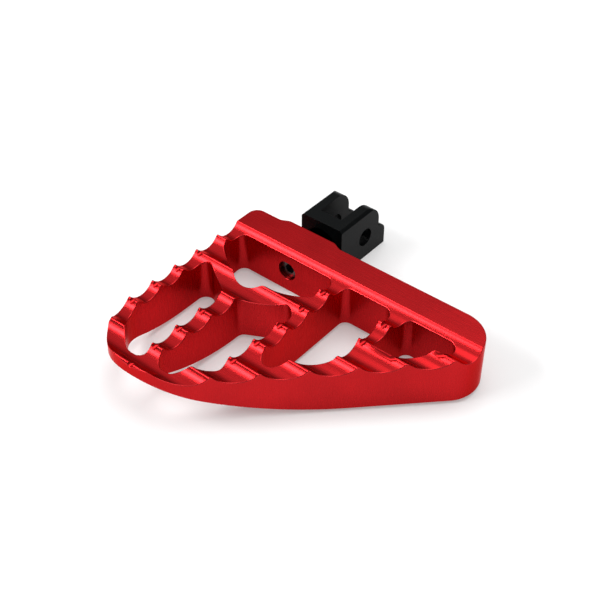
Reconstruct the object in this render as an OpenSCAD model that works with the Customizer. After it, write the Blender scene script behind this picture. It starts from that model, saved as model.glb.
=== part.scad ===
// Mini floorboard foot peg: a grooved aluminium board on a clevis mount.
// Origin: middle of the clevis pin bore. X runs along the pin, Z is up,
// and the board reaches out from the bike along -Y. Millimetres.

/* [Board] */
// Left wall of the board to the tip of its right end
board_len = 147.3; // [140:0.1:160]
// Back edge of the bar to the outermost point of the board
board_wide = 122.3; // [118:0.1:124]
// Height of the board
board_h = 25; // [24:0.5:28]
// Left wall of the board to the mount's axis
left_to_axis = 35.5; // [35:0.1:38]
// Radius of the right end
end_r = 17.8; // [17:0.1:18.5]
// Radius of the outer left corner
corner_r = 30; // [26:1:31]
// Radius that leads from the outer edge into the diagonal edge
outer_r = 44; // [36:1:46]
// Radius of the corner at the left end of the bar
bar_corner_r = 5.5; // [3:0.5:7]
// Outer edge in to where the underside begins to curve up, for ground clearance
curve_start = 59.6; // [49.6:0.5:64.6]
// Radius of the curved underside
curve_r = 105; // [95:1:140]
// Number of flats that make up the curve
curve_flats = 8; // [4:1:8]

/* [Pad] */
// Height of the pad above the back of the bar
pad_h = 2.3; // [1.5:0.1:3]
// Width of the pad's flat face
pad_w = 26.6; // [24:0.1:30]
// Length of the ramp at each side of the pad
pad_ramp = 6.7; // [5:0.1:9]

/* [Grip grooves] */
// Distance from one crest to the next
groove_pitch = 15.25; // [14.5:0.05:15.5]
// Depth of a groove
groove_depth = 3.9; // [3:0.1:4.2]
// Width of the flat top of a crest
crest_w = 0.8; // [0.6:0.1:1.5]
// Number of grooves
groove_count = 8; // [5:1:8]
// Pad face to the middle of the first groove
first_groove = 24.3; // [24:0.1:25]
// Radius of the notches that split the crests
notch_r = 1.6; // [0.8:0.1:1.8]

/* [Mount bolt] */
// Diameter of the bolt's shank
bolt_d = 6; // [5:0.5:6]
// Diameter of the bolt's head
head_d = 10; // [9:0.1:10]
// Height of the bolt's head
head_h = 6; // [5:0.5:6]
// Hexagon socket across its flats
hex_af = 5; // [4:0.5:5]
// Depth of the hexagon socket
hex_depth = 3.2; // [2:0.1:3.5]
// Length of the bolt under its head
bolt_len = 22; // [20:1:23]
// Gap round the shank in the board
shank_gap = 0.3; // [0.2:0.1:0.5]
// Gap round the head in its counterbore
head_gap = 0.3; // [0.2:0.1:0.5]
// Outer diameter of the lock washer
washer_d = 9.8; // [9:0.1:10]
// Thickness of the lock washer
washer_t = 1.6; // [1:0.1:2]
// Depth of the head's top below the pocket wall
head_sink = 2.4; // [1:0.1:3]

/* [Clevis] */
// Width of the clevis along the pin
clevis_w = 26; // [25:0.1:27]
// Height of the clevis
clevis_h = 28.6; // [27:0.1:30]
// Width of the slot between the ears
slot_w = 13.2; // [12:0.1:14]
// Diameter of the pin bore
pin_d = 10; // [8:0.1:11]
// Pin axis to the end of the ears
ear_reach = 11.6; // [10:0.1:13]
// Radius of the ears' upper corner
ear_r = 10; // [8:0.5:11]
// Pin axis to the end of the heel
heel_reach = 17.2; // [16:0.1:18]
// Pin axis up to the top of the heel
heel_top = 0.8; // [0:0.1:2]
// Radius of the heel's upper corner
heel_r = 5.4; // [4:0.1:5.6]
// Pin axis to the closed end of the slot
slot_reach = 12.6; // [12:0.1:14]
// Pin axis to the front face of the clevis
front_reach = 20.3; // [20:0.1:22]
// Pin axis to the pad face of the board
pad_reach = 27.5; // [26.5:0.1:29]
// Height of the mount's axis above the pin axis
axis_rise = 1.2; // [0:0.1:2]
// Diameter of the neck between the clevis and the pad
neck_d = 19.4; // [17:0.1:20]
// Chamfer along the clevis's long edges
clevis_chamfer = 1.5; // [0.5:0.1:2]

/* [Hidden] */
$fn = 96;

// Board plan, seen from above with the mount's axis at X = 0 and the pad face at Y = 0
left_x = -left_to_axis;
back_y = -pad_h;
outer_y = back_y - board_wide;
end_x = left_x + board_len - end_r + end_r * tan(67.5);
board_corners = [
    [left_x, outer_y],
    [end_x - board_wide, outer_y],
    [end_x, back_y],
    [left_x, back_y]];
board_radii = [corner_r, outer_r, end_r, bar_corner_r];

// Ramp at the side of the pad, an S-shaped line in equal steps
ramp_steps = 8;
ramp = [for (i = [0:ramp_steps])
    [pad_w / 2 + pad_ramp * i / ramp_steps, -pad_h * (1 - cos(180 * i / ramp_steps)) / 2]];
pad_line = [
    for (i = [ramp_steps:-1:0]) ramp[i],
    for (i = [0:ramp_steps]) [-ramp[i][0], ramp[i][1]]];

// Pockets: corner points and the radius at each corner
pocket_back = -20.2;
pocket_left = -29.3;
pocket_bar = [
    [-29.4, pocket_back],
    [-29, -34.6],
    [-3, -53],
    [30, -35],
    [29.7, pocket_back]];
pocket_bar_r = [4, 5, 13, 4, 4];
pocket_side = [
    [pocket_left, -45.9],
    [pocket_left, -101.6],
    [-14.3, -115.7],
    [-4.7, -115.7],
    [-4.9, -60]];
pocket_side_r = [4.5, 19, 9, 4.5, 4];
pocket_outer = [
    [4.1, -59.5],
    [2, -115],
    [12, -115],
    [27.5, -99.5],
    [30.2, -45.7]];
pocket_outer_r = [4, 6, 4, 5, 5];
pocket_mid = [
    [36.3, pocket_back],
    [36.3, -91.2],
    [64.7, -62.8],
    [64.7, pocket_back]];
pocket_mid_r = [4, 5, 6, 4.5];
pocket_end = [
    [72.8, pocket_back],
    [70, -46],
    [81.5, -46],
    [107.3, pocket_back]];
pocket_end_r = [4, 3, 4, 4.5];

// Notch lines along the middle of the walls and ribs: start and end
notch_lines = [
    [[-32.4, -30], [-32.4, -112]],
    [[-2.1, -62], [-2.5, -127]],
    [[33, -26], [30.6, -98]],
    [[68.6, -26], [67.5, -50]],
    [[79, -53], [103, -29]]];

// Groove radius from its depth and its width at the top
groove_chord = groove_pitch - crest_w;
groove_r = (groove_chord * groove_chord / 4 + groove_depth * groove_depth) / (2 * groove_depth);

// Bolt seat and bores, measured from the pad face towards the pocket
seat_y = pocket_back + head_sink + head_h + washer_t;
bolt_tip_y = seat_y - washer_t + bolt_len;
thread_end = bolt_tip_y + 1;

function unit(v) = v / norm(v);
function left_of(v) = [-v[1], v[0]];
function in_normal(p, i) = left_of(unit(p[(i + 1) % len(p)] - p[i]));
function prev(p, i) = (i + len(p) - 1) % len(p);
function round_centre(p, r, i) =
    let(a = in_normal(p, prev(p, i)), b = in_normal(p, i))
    p[i] + r[i] * (a + b) / (1 + a * b);
function round_ends(p, r, i) =
    [for (j = [prev(p, i), i]) round_centre(p, r, i) - r[i] * in_normal(p, j)];

// Flat outline with a round of its own radius at each corner, and more points before the last one
module rounded(p, r, before_last = []) {
    last = len(p) - 1;
    polygon([
        for (i = [0:last - 1]) each round_ends(p, r, i),
        each before_last,
        each round_ends(p, r, last)]);
    for (i = [0:len(p) - 1]) {
        c = round_centre(p, r, i);
        intersection() {
            translate(c) circle(r[i]);
            polygon([
                c,
                c - r[i] * in_normal(p, prev(p, i)),
                p[i],
                c - r[i] * in_normal(p, i)]);
        }
    }
}

module board_plan() {
    rounded(board_corners, board_radii, pad_line);
}

module pockets_plan() {
    rounded(pocket_bar, pocket_bar_r);
    rounded(pocket_side, pocket_side_r);
    rounded(pocket_outer, pocket_outer_r);
    rounded(pocket_mid, pocket_mid_r);
    rounded(pocket_end, pocket_end_r);
}

// Side view of the board: round-bottomed grooves across the top, an underside that curves up
module board_side() {
    curve_y = outer_y + curve_start;
    curve_end = outer_y - 1;
    flat = (curve_y - curve_end) / curve_flats;
    difference() {
        polygon([
            [1, 0],
            [1, board_h],
            [curve_end, board_h],
            for (i = [curve_flats:-1:0])
                [curve_y - i * flat, curve_r - sqrt(curve_r * curve_r - i * flat * i * flat)]]);
        for (i = [0:groove_count - 1])
            translate([-first_groove - i * groove_pitch, board_h - groove_depth + groove_r])
                circle(groove_r);
    }
}

// One notch line, a round cut that splits every crest it crosses
module notch(a, b) {
    d = b - a;
    translate([a[0], a[1], board_h])
        rotate([0, 0, atan2(d[1], d[0])])
            rotate([0, 90, 0])
                cylinder(r = notch_r, h = norm(d), $fn = 32);
}

// Stepped bore for the mount's bolt, along Y at mid height
module bolt_bores() {
    translate([0, 0, board_h / 2])
        rotate([-90, 0, 0]) {
            translate([0, 0, pocket_back - 5])
                cylinder(d = head_d + 2 * head_gap, h = seat_y - pocket_back + 5);
            translate([0, 0, seat_y - 1])
                cylinder(d = bolt_d + 2 * shank_gap, h = 1 - seat_y + 1);
        }
}

module board() {
    color([0.74, 0.07, 0.09])
        translate([0, -pad_reach, axis_rise - board_h / 2])
            difference() {
                intersection() {
                    linear_extrude(board_h) board_plan();
                    translate([left_x - 1, 0, 0])
                        rotate([90, 0, 90])
                            linear_extrude(board_len + 2)
                                board_side();
                }
                translate([0, 0, -1]) linear_extrude(board_h + 2) pockets_plan();
                for (n = notch_lines) notch(n[0], n[1]);
                bolt_bores();
            }
}

// Side view of the clevis: a block with an upper round and a square heel
module clevis_side() {
    low = axis_rise - clevis_h / 2;
    high = axis_rise + clevis_h / 2;
    translate([-front_reach, low]) square([front_reach + ear_reach - ear_r, clevis_h]);
    translate([0, low]) square([ear_reach, high - ear_r - low]);
    translate([ear_reach - ear_r, high - ear_r]) circle(ear_r);
    translate([0, low]) square([heel_reach - heel_r, heel_top - low]);
    translate([0, low]) square([heel_reach, heel_top - heel_r - low]);
    translate([heel_reach - heel_r, heel_top - heel_r]) circle(heel_r);
}

// Cutter for one of the clevis's long upper edges
module edge_chamfer() {
    translate([clevis_w / 2, -front_reach - 1, axis_rise + clevis_h / 2])
        rotate([-90, 0, 0])
            linear_extrude(front_reach + heel_reach + 2)
                polygon([
                    [-clevis_chamfer - 0.5, -0.5],
                    [0.5, -0.5],
                    [0.5, clevis_chamfer + 0.5]]);
}

module clevis() {
    color([0.07, 0.07, 0.08])
        difference() {
            union() {
                translate([-clevis_w / 2, 0, 0])
                    rotate([90, 0, 90])
                        linear_extrude(clevis_w)
                            clevis_side();
                translate([0, -pad_reach, axis_rise])
                    rotate([-90, 0, 0])
                        cylinder(d = neck_d, h = pad_reach - front_reach + 1);
            }
            translate([-slot_w / 2, -slot_reach, axis_rise - clevis_h / 2 - 1])
                cube([slot_w, slot_reach + heel_reach + 1, clevis_h + 2]);
            translate([-clevis_w / 2 - 1, 0, 0])
                rotate([0, 90, 0])
                    cylinder(d = pin_d, h = clevis_w + 2);
            edge_chamfer();
            mirror([1, 0, 0]) edge_chamfer();
            translate([0, -pad_reach - 1, axis_rise])
                rotate([-90, 0, 0])
                    cylinder(d = bolt_d, h = thread_end + 1);
        }
}

// Socket-head bolt that holds the mount, with its head inside the first pocket's wall
module mount_bolt() {
    color([0.12, 0.12, 0.13])
        translate([0, -pad_reach, axis_rise])
            rotate([-90, 0, 0])
                difference() {
                    union() {
                        translate([0, 0, seat_y - washer_t - head_h])
                            cylinder(d = head_d, h = head_h);
                        translate([0, 0, seat_y - washer_t - 1])
                            cylinder(d = bolt_d, h = bolt_len + 1);
                    }
                    translate([0, 0, seat_y - washer_t - head_h - 1])
                        cylinder(d = hex_af / cos(30), h = hex_depth + 1, $fn = 6);
                }
}

// Lock washer under the bolt's head
module lock_washer() {
    color([0.45, 0.45, 0.47])
        translate([0, -pad_reach + seat_y - washer_t, axis_rise])
            rotate([-90, 0, 0])
                difference() {
                    cylinder(d = washer_d, h = washer_t);
                    translate([0, 0, -1]) cylinder(d = bolt_d + shank_gap, h = washer_t + 2);
                }
}

board();
clevis();
mount_bolt();
lock_washer();
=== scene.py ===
"""Looks of the mini floorboard foot peg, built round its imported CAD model."""

import math

import bmesh
import bpy
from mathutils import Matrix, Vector
from mathutils.geometry import delaunay_2d_cdt


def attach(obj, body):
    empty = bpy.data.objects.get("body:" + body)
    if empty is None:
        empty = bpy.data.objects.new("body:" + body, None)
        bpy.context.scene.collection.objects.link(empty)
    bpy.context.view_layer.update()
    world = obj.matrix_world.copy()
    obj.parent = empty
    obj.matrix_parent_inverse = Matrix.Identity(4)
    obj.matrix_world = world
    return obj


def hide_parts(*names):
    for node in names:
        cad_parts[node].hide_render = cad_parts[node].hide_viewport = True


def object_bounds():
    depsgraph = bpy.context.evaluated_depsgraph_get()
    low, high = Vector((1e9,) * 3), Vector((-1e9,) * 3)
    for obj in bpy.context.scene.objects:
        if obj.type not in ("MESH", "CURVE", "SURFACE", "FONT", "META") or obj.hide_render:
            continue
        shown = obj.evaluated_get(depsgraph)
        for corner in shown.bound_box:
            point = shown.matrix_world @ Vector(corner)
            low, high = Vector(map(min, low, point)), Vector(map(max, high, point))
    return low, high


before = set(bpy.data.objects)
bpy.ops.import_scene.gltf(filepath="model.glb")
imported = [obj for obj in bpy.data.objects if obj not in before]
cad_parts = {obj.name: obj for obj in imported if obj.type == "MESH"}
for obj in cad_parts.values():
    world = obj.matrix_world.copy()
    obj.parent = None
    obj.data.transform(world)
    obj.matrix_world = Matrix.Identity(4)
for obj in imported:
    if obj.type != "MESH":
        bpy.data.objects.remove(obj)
cad_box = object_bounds()

MM = 0.001

# Camera, at the photograph's viewing angle
CAMERA_AZIMUTH = 39.42
CAMERA_ELEVATION = 41.25
CAMERA_DISTANCE = 0.560
CAMERA_LENS = 67.2
CAMERA_TARGET = Vector((0.010, -0.0495, -0.0113))

# Board, in millimetres: the mount's axis at x = 0, the pad face at y = 0 and the underside at z = 0
BOARD_AT = Vector((0, -27.5, -11.3))
BOARD_H = 25.0
LEFT_X = -35.5
BACK_Y = -2.3
BOARD_LEN = 147.3
BOARD_WIDE = 122.3
END_R = 17.8
OUTER_Y = BACK_Y - BOARD_WIDE
END_X = LEFT_X + BOARD_LEN - END_R + END_R * math.tan(math.radians(67.5))
BOARD_CORNERS = [(LEFT_X, OUTER_Y), (END_X - BOARD_WIDE, OUTER_Y), (END_X, BACK_Y), (LEFT_X, BACK_Y)]
BOARD_RADII = [30, 44, END_R, 5.5]
PAD_H = 2.3
PAD_HALF = 13.3
PAD_RAMP = 6.7
POCKET_BACK = -20.2
POCKETS = [
    (
        [(-29.4, POCKET_BACK), (-29, -34.6), (-3, -53), (30, -35), (29.7, POCKET_BACK)],
        [4, 5, 13, 4, 4],
    ),
    (
        [(-29.3, -45.9), (-29.3, -101.6), (-14.3, -115.7), (-4.7, -115.7), (-4.9, -60)],
        [4.5, 19, 9, 4.5, 4],
    ),
    (
        [(4.1, -59.5), (2, -115), (12, -115), (27.5, -99.5), (30.2, -45.7)],
        [4, 6, 4, 5, 5],
    ),
    (
        [(36.3, POCKET_BACK), (36.3, -91.2), (64.7, -62.8), (64.7, POCKET_BACK)],
        [4, 5, 6, 4.5],
    ),
    (
        [(72.8, POCKET_BACK), (70, -46), (81.5, -46), (107.3, POCKET_BACK)],
        [4, 3, 4, 4.5],
    ),
]
CURVE_START = -65.0
CURVE_R = 105.0
GROOVE_PITCH = 15.25
GROOVE_DEPTH = 3.9
CREST_W = 0.8
GROOVE_HALF = (GROOVE_PITCH - CREST_W) / 2
GROOVE_R = (GROOVE_HALF**2 + GROOVE_DEPTH**2) / (2 * GROOVE_DEPTH)
FIRST_GROOVE = 24.3
GROOVE_COUNT = 8
GROOVES = [-FIRST_GROOVE - i * GROOVE_PITCH for i in range(GROOVE_COUNT)]
NOTCH_R = 1.6
NOTCH_STEPS = [-1.64, -1.55, -1.35, -1.05, -0.7, -0.35, 0, 0.35, 0.7, 1.05, 1.35, 1.55, 1.64]
NOTCH_LINES = [
    ((-32.4, -30), (-32.4, -112)),
    ((-2.1, -62), (-2.5, -127)),
    ((33, -26), (30.6, -98)),
    ((68.6, -26), (67.5, -50)),
    ((79, -53), (103, -29)),
]
AXIS_Z = BOARD_H / 2
HEAD_BORE_R = 5.3
SHANK_BORE_R = 3.3
COUNTERBORE_DEPTH = 10.0
SEAT_Y = POCKET_BACK + COUNTERBORE_DEPTH
BORE_PATCH = 8.0

# Softened edges: radius along the board's outlines and at its bores, softness of crests and notches
EDGE_R = 0.45
EDGE_ROWS = 4
RIM_R = 0.3
CREST_SOFT = 0.40
NOTCH_SOFT = 0.18


def board_point(x, y, z):
    """A point of the board in the frame, in metres."""
    return Vector((x, y, z)) * MM + BOARD_AT * MM


def smooth_min(a, b, k):
    """The smaller of two heights, with the corner between them rounded."""
    h = max(k - abs(a - b), 0.0)
    return min(a, b) - h * h / (4 * k)


def top_height(x, y):
    """Height of the board's top: round-bottomed grooves, soft crests and notches across them."""
    z = BOARD_H
    for centre in GROOVES:
        d = abs(y - centre)
        if d < GROOVE_R:
            groove = BOARD_H - GROOVE_DEPTH + GROOVE_R - math.sqrt(GROOVE_R**2 - d * d)
            z = smooth_min(z, groove, CREST_SOFT)
    for (ax, ay), (bx, by) in NOTCH_LINES:
        length = math.hypot(bx - ax, by - ay)
        ux, uy = (bx - ax) / length, (by - ay) / length
        along = (x - ax) * ux + (y - ay) * uy
        d = abs((x - ax) * uy - (y - ay) * ux)
        if 0 < along < length and d < NOTCH_R:
            z = smooth_min(z, BOARD_H - math.sqrt(NOTCH_R**2 - d * d), NOTCH_SOFT)
    return z


def bottom_height(x, y):
    """Height of the board's underside, which curves up towards the outer edge."""
    d = max(CURVE_START - y, 0.0)
    return CURVE_R - math.sqrt(CURVE_R**2 - d * d)


def slope_normal(height, x, y, sign):
    """Unit normal of a height function at a point: sign 1 faces up, -1 faces down."""
    e = 0.02
    dx = (height(x + e, y) - height(x - e, y)) / (2 * e)
    dy = (height(x, y + e) - height(x, y - e)) / (2 * e)
    return Vector((-dx * sign, -dy * sign, sign)).normalized()


def line_heights():
    """Values of y at which the board's mesh has an edge all the way across."""
    steps = 18
    found = []
    for centre in GROOVES:
        inner = GROOVE_HALF - 0.35
        found += [centre + inner * (2 * i / steps - 1) for i in range(steps + 1)]
        for side in (-1, 1):
            found += [centre + side * (GROOVE_HALF + d) for d in (-0.2, -0.08, 0.04, 0.16, 0.28)]
    kept = []
    for y in sorted(found):
        if not kept or y - kept[-1] > 0.03:
            kept.append(y)
    return kept


def corner_rounds(corners, radii):
    """For each corner: the round's centre, radius and the directions of its first and last normals."""
    count = len(corners)
    rounds = []
    for i in range(count):
        p = Vector(corners[i])
        before = (p - Vector(corners[i - 1])).normalized()
        after = (Vector(corners[(i + 1) % count]) - p).normalized()
        a = Vector((before.y, -before.x))
        b = Vector((after.y, -after.x))
        r = radii[i]
        centre = p - (a + b) * (r / (1 + a.dot(b)))
        rounds.append((centre, r, a, b))
    return rounds


def outline(corners, radii, grow, pad=False):
    """Points and outward normals round a counter-clockwise outline that is grown by a distance."""
    ring = []
    rounds = corner_rounds(corners, radii)
    for i, (centre, r, a, b) in enumerate(rounds):
        turn = math.atan2(a.x * b.y - a.y * b.x, a.dot(b))
        steps = max(2, math.ceil(abs(turn) / min(math.radians(6), 0.8 / r)))
        if pad and i == len(rounds) - 1:
            ring += pad_ring(grow)
        for j in range(steps + 1):
            angle = turn * j / steps
            c, s = math.cos(angle), math.sin(angle)
            n = Vector((a.x * c - a.y * s, a.x * s + a.y * c))
            ring.append((centre + n * (r + grow), n))
    return ring


def pad_ring(grow):
    """The back edge's points over the pad, from right to left: an S-shaped ramp at each side."""
    half = []
    steps = 16
    for i in range(steps + 1):
        t = i / steps
        x = PAD_HALF + PAD_RAMP * t
        y = -PAD_H * (1 - math.cos(math.pi * t)) / 2
        slope = -PAD_H * math.pi * math.sin(math.pi * t) / (2 * PAD_RAMP)
        half.append((Vector((x, y)), Vector((-slope, 1)).normalized()))
    patch = [(Vector((BORE_PATCH, 0)), Vector((0, 1)))]
    right = half[::-1] + patch
    left = [(Vector((-p.x, p.y)), Vector((-n.x, n.y))) for p, n in right[::-1]]
    return [(p + n * grow, n) for p, n in right + left]


def with_crossings(ring, lines, extra_x=()):
    """The ring with a point wherever it crosses one of the lines, so that mesh edges can end there."""
    snapped = []
    for p, n in ring:
        near = min(lines, key=lambda y: abs(y - p.y))
        if abs(near - p.y) < 0.02:
            p = Vector((p.x, near))
        snapped.append((p, n))
    full = []
    for k, (p, n) in enumerate(snapped):
        q, m = snapped[(k + 1) % len(snapped)]
        full.append((p, n))
        cuts = []
        if abs(q.y - p.y) > 1e-9:
            for y in lines:
                t = (y - p.y) / (q.y - p.y)
                if 1e-6 < t < 1 - 1e-6:
                    cuts.append((t, Vector((p.x + (q.x - p.x) * t, y))))
        for x, y in extra_x:
            if abs(p.y - y) < 0.6 and abs(q.y - y) < 0.6 and abs(q.x - p.x) > 1e-9:
                t = (x - p.x) / (q.x - p.x)
                if 1e-6 < t < 1 - 1e-6:
                    cuts.append((t, Vector((x, p.y))))
        for t, c in sorted(cuts, key=lambda item: item[0]):
            full.append((c, n.lerp(m, t).normalized()))
    return full


def inside(point, ring):
    """Whether a point lies inside a closed ring of points."""
    found = False
    x, y = point
    for k in range(len(ring)):
        a, b = ring[k - 1], ring[k]
        if (a.y > y) != (b.y > y) and x < a.x + (b.x - a.x) * (y - a.y) / (b.y - a.y):
            found = not found
    return found


class Builder:
    """Gathers vertices with their own normals, an edge weight and faces, then makes one mesh object."""

    def __init__(self):
        self.points = []
        self.normals = []
        self.weights = []
        self.faces = []

    def add(self, point, normal, weight=0.0):
        self.points.append(Vector(point))
        self.normals.append(Vector(normal).normalized())
        self.weights.append(weight)
        return len(self.points) - 1

    def face(self, *indices):
        if len(set(indices)) == len(indices):
            self.faces.append(indices)

    def strip(self, first, second, flip=False):
        """Joins two closed rows of as many vertices each."""
        count = len(first)
        for k in range(count):
            n = (k + 1) % count
            quad = (first[k], first[n], second[n], second[k])
            self.face(*(quad[::-1] if flip else quad))

    def finish(self, name):
        mesh = bpy.data.meshes.new(name)
        mesh.from_pydata([tuple(p) for p in self.points], [], self.faces)
        mesh.update()
        mesh.polygons.foreach_set("use_smooth", [True] * len(mesh.polygons))
        weight = mesh.attributes.new("edge", "FLOAT", "POINT")
        weight.data.foreach_set("value", self.weights)
        mesh.normals_split_custom_set_from_vertices([tuple(n) for n in self.normals])
        obj = bpy.data.objects.new(name, mesh)
        bpy.context.scene.collection.objects.link(obj)
        return obj


def face_lines(rings, lines):
    """The parts of each line that lie on the board, between two points of the rings."""
    by_line = {}
    for r, ring in enumerate(rings):
        for k, (p, n) in enumerate(ring):
            near = min(lines, key=lambda y: abs(y - p.y))
            if abs(near - p.y) < 1e-4:
                by_line.setdefault(near, []).append((p.x, (r, k)))
    outer = [p for p, n in rings[0]]
    holes = [[p for p, n in ring] for ring in rings[1:]]
    found = []
    for y, items in by_line.items():
        items.sort()
        for (x0, a), (x1, b) in zip(items, items[1:]):
            middle = ((x0 + x1) / 2, y)
            if x1 - x0 > 1e-6 and inside(middle, outer) and not any(inside(middle, h) for h in holes):
                found.append((a, b))
    return found


def notch_grid():
    """Short lines beside each notch where it crosses a crest, as pairs of points."""
    reach = 2.1
    margin = 2.0
    crests = [GROOVES[0] + GROOVE_PITCH / 2] + [c - GROOVE_PITCH / 2 for c in GROOVES]
    pairs = []
    for (ax, ay), (bx, by) in NOTCH_LINES:
        length = math.hypot(bx - ax, by - ay)
        ux, uy = (bx - ax) / length, (by - ay) / length
        for crest in crests:
            t = (crest - ay) / uy
            if not margin < t < length - margin:
                continue
            x = ax + ux * t
            for side in NOTCH_STEPS:
                cx, cy = x + side * uy, crest - side * ux
                outward = min(reach, cy - OUTER_Y - EDGE_R - 0.1)
                ends = (outward, reach) if uy < 0 else (reach, outward)
                pairs.append((
                    Vector((cx + ux * ends[0], cy + uy * ends[0])),
                    Vector((cx - ux * ends[1], cy - uy * ends[1])),
                ))
    return pairs


def patch_with_hole(build, y, facing, corners, hole_r):
    """A flat upright wall at y between four corner vertices, with a round hole whose rim is softened."""
    sides = 48
    normal = Vector((0, facing, 0))
    circle = [(math.cos(2 * math.pi * i / sides), math.sin(2 * math.pi * i / sides)) for i in range(sides)]
    outer = [build.points[c] / MM - BOARD_AT for c in corners]
    flat = [Vector((p.x, p.z)) for p in outer]
    flat += [Vector((c * (hole_r + RIM_R), AXIS_Z + s * (hole_r + RIM_R))) for c, s in circle]
    count = len(corners)
    edges = [(i, (i + 1) % count) for i in range(count)]
    edges += [(count + i, count + (i + 1) % sides) for i in range(sides)]
    verts, _, faces, origin, _, _ = delaunay_2d_cdt(flat, edges, [], 0, 1e-5)
    index = []
    for v, src in zip(verts, origin):
        if src and src[0] < count:
            index.append(corners[src[0]])
        else:
            index.append(build.add(board_point(v.x, y, v.y), normal))
    rim = [None] * sides
    for new, src in enumerate(origin):
        for s in src:
            if s >= count:
                rim[s - count] = index[new]
    for f in faces:
        x = sum(verts[i].x for i in f) / 3
        z = sum(verts[i].y for i in f) / 3
        if math.hypot(x, z - AXIS_Z) > hole_r:
            turned = (index[f[0]], index[f[1]], index[f[2]])
            build.face(*(turned if facing < 0 else turned[::-1]))
    rows = [rim]
    for j in range(1, 4):
        angle = math.pi / 2 * j / 3
        radius = hole_r + RIM_R * (1 - math.sin(angle))
        depth = RIM_R * (1 - math.cos(angle))
        row = []
        for c, s in circle:
            n = normal * math.cos(angle) - Vector((c, 0, s)) * math.sin(angle)
            at = board_point(c * radius, y - facing * depth, AXIS_Z + s * radius)
            row.append(build.add(at, n, math.sin(2 * angle)))
        rows.append(row)
    for a, b in zip(rows, rows[1:]):
        build.strip(a, b, flip=facing > 0)
    return circle


def make_board():
    build = Builder()
    lines = line_heights()
    soft = EDGE_R
    walls = [(-BORE_PATCH, POCKET_BACK), (BORE_PATCH, POCKET_BACK)]
    notched = [(NOTCH_LINES[1][1][0] + side, OUTER_Y + soft) for side in NOTCH_STEPS]
    rings = [with_crossings(outline(BOARD_CORNERS, BOARD_RADII, -soft, pad=True), lines, notched)]
    for number, (corners, radii) in enumerate(POCKETS):
        ring = outline(corners, radii, soft)
        rings.append(with_crossings(ring, lines, walls if number == 0 else ()))

    flat, edges, start = [], [], []
    for ring in rings:
        start.append(len(flat))
        flat += [p for p, n in ring]
        edges += [(start[-1] + k, start[-1] + (k + 1) % len(ring)) for k in range(len(ring))]
    for (ra, ka), (rb, kb) in face_lines(rings, lines):
        edges.append((start[ra] + ka, start[rb] + kb))
    ring_count = len(flat)
    for a, b in notch_grid():
        edges.append((len(flat), len(flat) + 1))
        flat += [a, b]
    verts, _, faces, origin, _, _ = delaunay_2d_cdt(flat, edges, [], 0, 1e-6)

    outer = [p for p, n in rings[0]]
    holes = [[p for p, n in ring] for ring in rings[1:]]
    kept = []
    for f in faces:
        middle = (sum(verts[i].x for i in f) / 3, sum(verts[i].y for i in f) / 3)
        if inside(middle, outer) and not any(inside(middle, h) for h in holes):
            kept.append(f)

    at_ring = {}
    for new, src in enumerate(origin):
        for s in src:
            if s < ring_count:
                at_ring[s] = new
    index = {}
    for sign, height in ((1, top_height), (-1, bottom_height)):
        for i in {i for f in kept for i in f}:
            v = verts[i]
            normal = slope_normal(height, v.x, v.y, sign)
            index[sign, i] = build.add(board_point(v.x, v.y, height(v.x, v.y)), normal)
        for f in kept:
            face = [index[sign, i] for i in f]
            build.face(*(face if sign > 0 else face[::-1]))

    for r, ring in enumerate(rings):
        out = 1 if r == 0 else -1
        rows = []
        for sign, height in ((1, top_height), (-1, bottom_height)):
            side = [[index[sign, at_ring[start[r] + k]] for k in range(len(ring))]]
            for j in range(1, EDGE_ROWS + 1):
                angle = math.pi / 2 * j / EDGE_ROWS
                row = []
                for p, n in ring:
                    q = p + n * (out * soft * math.sin(angle))
                    z = height(q.x, q.y) - sign * soft * (1 - math.cos(angle))
                    up = slope_normal(height, q.x, q.y, sign)
                    flat_n = Vector((n.x * out, n.y * out, 0))
                    normal = up * math.cos(angle) + flat_n * math.sin(angle)
                    row.append(build.add(board_point(q.x, q.y, z), normal, math.sin(2 * angle)))
                side.append(row)
            rows.append(side)
        for sign, side in zip((1, -1), rows):
            for a, b in zip(side, side[1:]):
                build.strip(a, b, flip=(sign * out) > 0)
        top, bottom = rows[0][-1], rows[1][-1]
        count = len(ring)
        for k in range(count):
            n = (k + 1) % count
            xs = sorted((ring[k][0].x, ring[n][0].x))
            y = ring[k][0].y
            on_patch = abs(xs[0] + BORE_PATCH) < 1e-4 and abs(xs[1] - BORE_PATCH) < 1e-4
            if on_patch and abs(ring[n][0].y - y) < 1e-4:
                wall_y = y + out * soft
                corners = [top[k], top[n], bottom[n], bottom[k]]
                bore_r = SHANK_BORE_R if out > 0 else HEAD_BORE_R
                circle = patch_with_hole(build, wall_y, out, corners, bore_r)
                bore_wall(build, circle, bore_r, wall_y, out)
            else:
                quad = (top[k], top[n], bottom[n], bottom[k])
                build.face(*(quad[::-1] if out > 0 else quad))
    return build.finish("foot_board")


def bore_wall(build, circle, radius, wall_y, facing):
    """The inside of a bore from its softened rim to the bolt's seat."""
    ends = []
    for y in (wall_y - facing * RIM_R, SEAT_Y):
        ends.append([
            build.add(board_point(c * radius, y, AXIS_Z + s * radius), (-c, 0, -s)) for c, s in circle
        ])
    build.strip(ends[0], ends[1], flip=facing > 0)
    if facing < 0:
        seat = [
            [build.add(board_point(c * r, SEAT_Y, AXIS_Z + s * r), (0, -1, 0)) for c, s in circle]
            for r in (radius, SHANK_BORE_R)
        ]
        build.strip(seat[0], seat[1])


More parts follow.
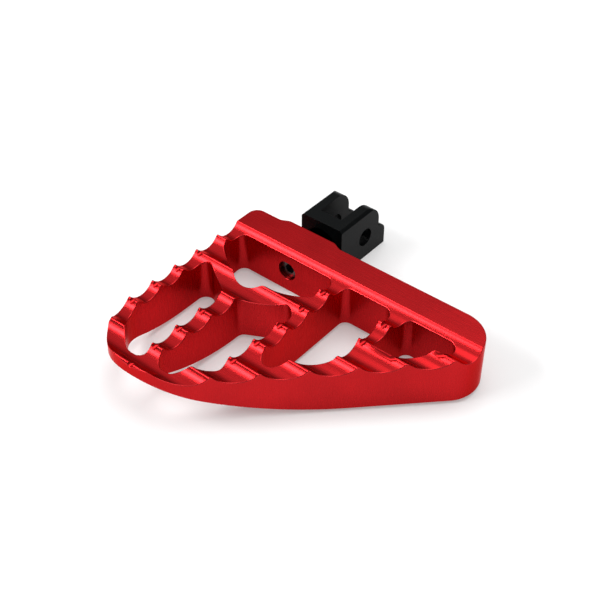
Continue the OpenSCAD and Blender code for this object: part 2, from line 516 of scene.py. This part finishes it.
# Clevis, in millimetres in the frame: the pin's axis along X through the origin
CLEVIS_W = 26.0
CLEVIS_H = 28.6
AXIS_RISE = 1.2
CLEVIS_LOW = AXIS_RISE - CLEVIS_H / 2
CLEVIS_HIGH = AXIS_RISE + CLEVIS_H / 2
FRONT_Y = -20.3
PAD_Y = -27.5
NECK_R = 9.7
EAR_REACH = 11.6
EAR_R = 10.0
HEEL_REACH = 17.2
HEEL_TOP = 0.8
HEEL_R = 5.4
SLOT_HALF = 6.6
SLOT_END = -12.6
PIN_R = 5.0
CLEVIS_CHAMFER = 1.5


def arc(cx, cy, r, start, end, steps):
    """Points along an arc, from one angle to another in degrees."""
    return [
        (cx + r * math.cos(math.radians(a)), cy + r * math.sin(math.radians(a)))
        for a in (start + (end - start) * i / steps for i in range(steps + 1))
    ]


def prism(name, points, axis, low, high):
    """A closed prism over a flat outline, along X for axis 0 and along Y for axis 1."""
    mesh = bpy.data.meshes.new(name)
    bm = bmesh.new()
    ends = []
    for at in (low, high):
        if axis == 0:
            ends.append([bm.verts.new((at * MM, a * MM, b * MM)) for a, b in points])
        else:
            ends.append([bm.verts.new((a * MM, at * MM, b * MM)) for a, b in points])
    bm.faces.new(ends[0])
    bm.faces.new(ends[1])
    for k in range(len(points)):
        n = (k + 1) % len(points)
        bm.faces.new((ends[0][k], ends[0][n], ends[1][n], ends[1][k]))
    bmesh.ops.recalc_face_normals(bm, faces=bm.faces)
    bm.to_mesh(mesh)
    bm.free()
    obj = bpy.data.objects.new(name, mesh)
    bpy.context.scene.collection.objects.link(obj)
    return obj


def applied(obj):
    """The object with its modifiers made part of its mesh."""
    bpy.context.view_layer.update()
    graph = bpy.context.evaluated_depsgraph_get()
    mesh = bpy.data.meshes.new_from_object(obj.evaluated_get(graph), depsgraph=graph)
    obj.modifiers.clear()
    obj.data = mesh
    return obj


def cut(obj, tool):
    """Takes the tool's solid out of the object."""
    modifier = obj.modifiers.new("cut", "BOOLEAN")
    modifier.operation = "DIFFERENCE"
    modifier.solver = "EXACT"
    modifier.object = tool
    applied(obj)
    bpy.data.objects.remove(tool)


def soften(obj, width, segments=3, angle=30):
    """Rounds the object's sharp edges a little and shades it smooth."""
    modifier = obj.modifiers.new("soften", "BEVEL")
    modifier.width = width * MM
    modifier.segments = segments
    modifier.limit_method = "ANGLE"
    modifier.angle_limit = math.radians(angle)
    modifier.harden_normals = True
    obj.data.polygons.foreach_set("use_smooth", [True] * len(obj.data.polygons))
    applied(obj)


def make_clevis():
    side = [(FRONT_Y, CLEVIS_LOW), (HEEL_REACH, CLEVIS_LOW)]
    side += arc(HEEL_REACH - HEEL_R, HEEL_TOP - HEEL_R, HEEL_R, 0, 90, 14)
    side += [(EAR_REACH, HEEL_TOP)]
    side += arc(EAR_REACH - EAR_R, CLEVIS_HIGH - EAR_R, EAR_R, 0, 90, 24)
    side += [(FRONT_Y, CLEVIS_HIGH)]
    body = prism("clevis_mount", side, 0, -CLEVIS_W / 2, CLEVIS_W / 2)
    low, high = CLEVIS_LOW - 2, CLEVIS_HIGH + 2
    slot = [(-SLOT_HALF, low), (SLOT_HALF, low), (SLOT_HALF, high), (-SLOT_HALF, high)]
    cut(body, prism("slot", slot, 1, SLOT_END, HEEL_REACH + 2))
    cut(body, prism("pin", arc(0, 0, PIN_R, 0, 352.5, 47), 0, -CLEVIS_W, CLEVIS_W))
    edge, over = CLEVIS_W / 2, 0.5
    for s in (-1, 1):
        corner = [
            (s * (edge - CLEVIS_CHAMFER - over), CLEVIS_HIGH + over),
            (s * (edge + over), CLEVIS_HIGH + over),
            (s * (edge + over), CLEVIS_HIGH - CLEVIS_CHAMFER - over),
        ]
        cut(body, prism("chamfer", corner, 1, FRONT_Y - 1, HEEL_REACH + 1))
    soften(body, 0.35)
    return body


def lathe(name, profile, centre, sides=96):
    """A turned piece round an axis along Y: profile is pairs of radius and y."""
    build = Builder()
    rows = []
    for k, (r, y) in enumerate(profile):
        r0, y0 = profile[max(k - 1, 0)]
        r1, y1 = profile[min(k + 1, len(profile) - 1)]
        tangent = Vector((r1 - r0, y1 - y0)).normalized()
        row = []
        for i in range(sides):
            c, s = math.cos(2 * math.pi * i / sides), math.sin(2 * math.pi * i / sides)
            normal = Vector((c * tangent.y, -tangent.x, s * tangent.y))
            point = Vector((centre[0] + c * r, y, centre[1] + s * r)) * MM
            row.append(build.add(point, normal))
        rows.append(row)
    for a, b in zip(rows, rows[1:]):
        build.strip(a, b)
    return build.finish(name)


def make_neck():
    soft = 0.4
    profile = [(SHANK_BORE_R + 0.2, PAD_Y), (NECK_R - soft, PAD_Y)]
    profile += [
        (NECK_R - soft + soft * math.sin(a), PAD_Y + soft - soft * math.cos(a))
        for a in (math.radians(22.5 * i) for i in range(1, 4))
    ]
    profile += [(NECK_R, PAD_Y + soft), (NECK_R, -24.5), (NECK_R, FRONT_Y + 0.2)]
    return lathe("clevis_neck", profile, (0, AXIS_RISE))


# Materials
def nodes_of(material):
    material.use_nodes = True
    tree = material.node_tree
    return tree.nodes, tree.links, tree.nodes["Principled BSDF"]


def stretched_noise(scale, detail, stretch, links, nodes):
    """Noise in the frame's own coordinates, drawn out along one direction."""
    where = nodes.new("ShaderNodeTexCoord")
    mapping = nodes.new("ShaderNodeMapping")
    mapping.inputs["Scale"].default_value = stretch
    noise = nodes.new("ShaderNodeTexNoise")
    noise.inputs["Scale"].default_value = scale
    noise.inputs["Detail"].default_value = detail
    links.new(where.outputs["Object"], mapping.inputs["Vector"])
    links.new(mapping.outputs["Vector"], noise.inputs["Vector"])
    return noise


def ramp(nodes, links, source, low, high):
    """Maps a 0 to 1 source on to a range of values."""
    node = nodes.new("ShaderNodeMapRange")
    node.inputs["From Min"].default_value = 0.3
    node.inputs["From Max"].default_value = 0.7
    node.inputs["To Min"].default_value = low
    node.inputs["To Max"].default_value = high
    links.new(source, node.inputs["Value"])
    return node.outputs["Result"]


def anodised(name, colour, edge_highlight_colour, rough, metal, specular, coat, grain):
    """Satin anodised metal: machining lines, a fine blasted grain and a painted highlight that makes the
    softened edges slightly paler.
    """
    material = bpy.data.materials.new(name)
    nodes, links, shader = nodes_of(material)
    shader.inputs["Metallic"].default_value = metal
    shader.inputs["Specular IOR Level"].default_value = specular
    shader.inputs["Coat Weight"].default_value = coat
    shader.inputs["Coat Roughness"].default_value = 0.34
    lines = stretched_noise(1.0, 3, (60, 2600, 2600), links, nodes)
    upright = stretched_noise(1.0, 3, (2400, 2400, 50), links, nodes)
    fine = stretched_noise(5200, 2, (1, 1, 1), links, nodes)
    cloud = stretched_noise(38, 3, (1, 1, 1), links, nodes)

    facing = nodes.new("ShaderNodeNewGeometry")
    split = nodes.new("ShaderNodeSeparateXYZ")
    flat = nodes.new("ShaderNodeMath")
    flat.operation = "ABSOLUTE"
    links.new(facing.outputs["Normal"], split.inputs["Vector"])
    links.new(split.outputs["Z"], flat.inputs[0])
    pick = nodes.new("ShaderNodeMix")
    links.new(flat.outputs[0], pick.inputs["Factor"])
    links.new(upright.outputs["Fac"], pick.inputs["A"])
    links.new(lines.outputs["Fac"], pick.inputs["B"])
    marks = pick.outputs["Result"]

    edge = nodes.new("ShaderNodeAttribute")
    edge.attribute_name = "edge"
    tint = nodes.new("ShaderNodeMix")
    tint.data_type = "RGBA"
    tint.inputs["A"].default_value = (*colour, 1)
    tint.inputs["B"].default_value = (*[c * 0.82 for c in colour], 1)
    links.new(ramp(nodes, links, cloud.outputs["Fac"], 0, 1), tint.inputs["Factor"])
    # Painted highlight: the softened edges get a paler colour, weighted by the mesh's edge attribute and
    # varied by the cloud noise.
    edge_highlight = nodes.new("ShaderNodeMix")
    edge_highlight.data_type = "RGBA"
    edge_highlight.inputs["B"].default_value = (*edge_highlight_colour, 1)
    edge_highlight_amount = nodes.new("ShaderNodeMath")
    edge_highlight_amount.operation = "MULTIPLY"
    links.new(edge.outputs["Fac"], edge_highlight_amount.inputs[0])
    links.new(ramp(nodes, links, cloud.outputs["Fac"], 0.35, 0.75), edge_highlight_amount.inputs[1])
    links.new(edge_highlight_amount.outputs[0], edge_highlight.inputs["Factor"])
    links.new(tint.outputs["Result"], edge_highlight.inputs["A"])
    links.new(edge_highlight.outputs["Result"], shader.inputs["Base Color"])

    links.new(ramp(nodes, links, marks, rough - 0.04, rough + 0.05), shader.inputs["Roughness"])
    height = nodes.new("ShaderNodeMix")
    height.inputs["Factor"].default_value = 0.45
    links.new(marks, height.inputs["A"])
    links.new(fine.outputs["Fac"], height.inputs["B"])
    bump = nodes.new("ShaderNodeBump")
    bump.inputs["Strength"].default_value = grain
    bump.inputs["Distance"].default_value = 0.00004
    links.new(height.outputs["Result"], bump.inputs["Height"])
    links.new(bump.outputs["Normal"], shader.inputs["Normal"])
    return material


def steel(name, colour, rough):
    """Turned steel with its marks round the bolt's axis."""
    material = bpy.data.materials.new(name)
    nodes, links, shader = nodes_of(material)
    shader.inputs["Metallic"].default_value = 1.0
    fine = stretched_noise(1.0, 3, (900, 4200, 900), links, nodes)
    cloud = stretched_noise(260, 2, (1, 1, 1), links, nodes)
    tint = nodes.new("ShaderNodeMix")
    tint.data_type = "RGBA"
    tint.inputs["A"].default_value = (*colour, 1)
    tint.inputs["B"].default_value = (*[c * 0.7 for c in colour], 1)
    links.new(cloud.outputs["Fac"], tint.inputs["Factor"])
    links.new(tint.outputs["Result"], shader.inputs["Base Color"])
    links.new(ramp(nodes, links, fine.outputs["Fac"], rough - 0.05, rough + 0.1), shader.inputs["Roughness"])
    bump = nodes.new("ShaderNodeBump")
    bump.inputs["Strength"].default_value = 0.25
    bump.inputs["Distance"].default_value = 0.00003
    links.new(fine.outputs["Fac"], bump.inputs["Height"])
    links.new(bump.outputs["Normal"], shader.inputs["Normal"])
    return material


RED = (0.50, 0.009, 0.012)
# Painted highlight colours for the softened edges of the red and the black parts.
RED_EDGE_HIGHLIGHT = (0.66, 0.034, 0.040)
BLACK = (0.002, 0.0026, 0.0028)
BLACK_EDGE_HIGHLIGHT = (0.03, 0.032, 0.035)
RED_TINT = (1, 0.35, 0.35, 1)

red = anodised("red_anodised", RED, RED_EDGE_HIGHLIGHT, 0.27, 1.0, 0.5, 0.12, 0.16)
red.node_tree.nodes["Principled BSDF"].inputs["Specular Tint"].default_value = RED_TINT
black = anodised("black_anodised", BLACK, BLACK_EDGE_HIGHLIGHT, 0.34, 0.0, 0.06, 0.0, 0.2)
dark = steel("bolt_steel", (0.10, 0.095, 0.095), 0.30)
spring = steel("washer_steel", (0.35, 0.35, 0.36), 0.38)

board = make_board()
board.data.materials.append(red)
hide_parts("board")
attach(board, "foot_board")

clevis = make_clevis()
clevis.data.materials.append(black)
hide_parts("clevis")
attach(clevis, "mount")

neck = make_neck()
neck.data.materials.append(black)
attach(neck, "mount")

for name, material in (("mount_bolt", dark), ("lock_washer", spring)):
    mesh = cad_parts[name].data
    mesh.materials.clear()
    mesh.materials.append(material)

# Floor and a low backdrop round it
FLOOR_HALF = 8.5
FLOOR_WHITE = 0.25
BACKDROP_R = 8.0
BACKDROP_H = 1.1
BACKDROP_WHITE = 0.5
BACKDROP_SIDES = 48


def pale(name, white_share):
    """Matt white, with a share of plain white where the camera or a reflection sees it."""
    material = bpy.data.materials.new(name)
    nodes, links, shader = nodes_of(material)
    shader.inputs["Base Color"].default_value = (0.90, 0.90, 0.90, 1)
    shader.inputs["Roughness"].default_value = 0.9
    shader.inputs["Specular IOR Level"].default_value = 0.1
    path = nodes.new("ShaderNodeLightPath")
    seen = path.outputs["Is Camera Ray"]
    for ray in ("Is Glossy Ray", "Is Transmission Ray"):
        either = nodes.new("ShaderNodeMath")
        either.operation = "MAXIMUM"
        links.new(seen, either.inputs[0])
        links.new(path.outputs[ray], either.inputs[1])
        seen = either.outputs[0]
    share = nodes.new("ShaderNodeMath")
    share.operation = "MULTIPLY"
    share.inputs[1].default_value = white_share
    links.new(seen, share.inputs[0])
    white = nodes.new("ShaderNodeEmission")
    blend = nodes.new("ShaderNodeMixShader")
    links.new(share.outputs[0], blend.inputs["Fac"])
    links.new(shader.outputs["BSDF"], blend.inputs[1])
    links.new(white.outputs["Emission"], blend.inputs[2])
    links.new(blend.outputs["Shader"], nodes["Material Output"].inputs["Surface"])
    return material


def stage_piece(name, points, faces, material):
    mesh = bpy.data.meshes.new(name)
    mesh.from_pydata(points, [], faces)
    mesh.materials.append(material)
    piece = bpy.data.objects.new(name, mesh)
    bpy.context.scene.collection.objects.link(piece)


floor_z = cad_box[0].z
corners = [(-1, -1), (1, -1), (1, 1), (-1, 1)]
stage_piece(
    "floor",
    [(x * FLOOR_HALF, y * FLOOR_HALF, floor_z) for x, y in corners],
    [(0, 1, 2, 3)],
    pale("pale_floor", FLOOR_WHITE),
)
ring = []
for i in range(BACKDROP_SIDES):
    turn = 2 * math.pi * i / BACKDROP_SIDES
    x, y = BACKDROP_R * math.cos(turn), BACKDROP_R * math.sin(turn)
    ring += [(x, y, floor_z), (x, y, floor_z + BACKDROP_H)]
count = len(ring)
stage_piece(
    "backdrop",
    ring,
    [(i, (i + 2) % count, (i + 3) % count, i + 1) for i in range(0, count, 2)],
    pale("pale_backdrop", BACKDROP_WHITE),
)


# Lights
WALL_LIGHT = 0.12
CEILING_LIGHT = 0.85


def softbox(name, at, target, size, power):
    data = bpy.data.lights.new(name, "AREA")
    data.shape = "RECTANGLE"
    data.size, data.size_y = size
    data.energy = power
    obj = bpy.data.objects.new(name, data)
    obj.location = at
    obj.rotation_euler = (Vector(target) - Vector(at)).to_track_quat("-Z", "Y").to_euler()
    bpy.context.scene.collection.objects.link(obj)


centre = (0.03, -0.07, 0.0)
softbox("key", (-0.62, -0.80, 0.80), centre, (0.75, 0.26), 10)
softbox("top", (0.05, 0.35, 1.3), centre, (1.0, 1.0), 8)

# Studio room: dim walls that brighten towards the ceiling
world = bpy.data.worlds.new("studio")
bpy.context.scene.world = world
world.use_nodes = True
tree = world.node_tree
background = tree.nodes["Background"]
where = tree.nodes.new("ShaderNodeTexCoord")
split = tree.nodes.new("ShaderNodeSeparateXYZ")
rise = tree.nodes.new("ShaderNodeMapRange")
rise.interpolation_type = "SMOOTHSTEP"
rise.inputs["From Min"].default_value = 0.2
rise.inputs["From Max"].default_value = 0.8
rise.inputs["To Min"].default_value = WALL_LIGHT
rise.inputs["To Max"].default_value = CEILING_LIGHT
tree.links.new(where.outputs["Generated"], split.inputs["Vector"])
tree.links.new(split.outputs["Z"], rise.inputs["Value"])
tree.links.new(rise.outputs["Result"], background.inputs["Strength"])
background.inputs["Color"].default_value = (1, 1, 1, 1)

# Camera
camera_data = bpy.data.cameras.new("camera")
camera_data.lens = CAMERA_LENS
camera_data.sensor_width = 36
camera_data.clip_start = 0.01
camera = bpy.data.objects.new("camera", camera_data)
az, el = math.radians(CAMERA_AZIMUTH), math.radians(CAMERA_ELEVATION)
back = Vector((math.sin(az) * math.cos(el), -math.cos(az) * math.cos(el), math.sin(el)))
camera.location = CAMERA_TARGET + back * CAMERA_DISTANCE
camera.rotation_euler = (math.pi / 2 - el, 0, az)
bpy.context.scene.collection.objects.link(camera)
bpy.context.scene.camera = camera
bpy.context.scene.view_settings.view_transform = "Standard"
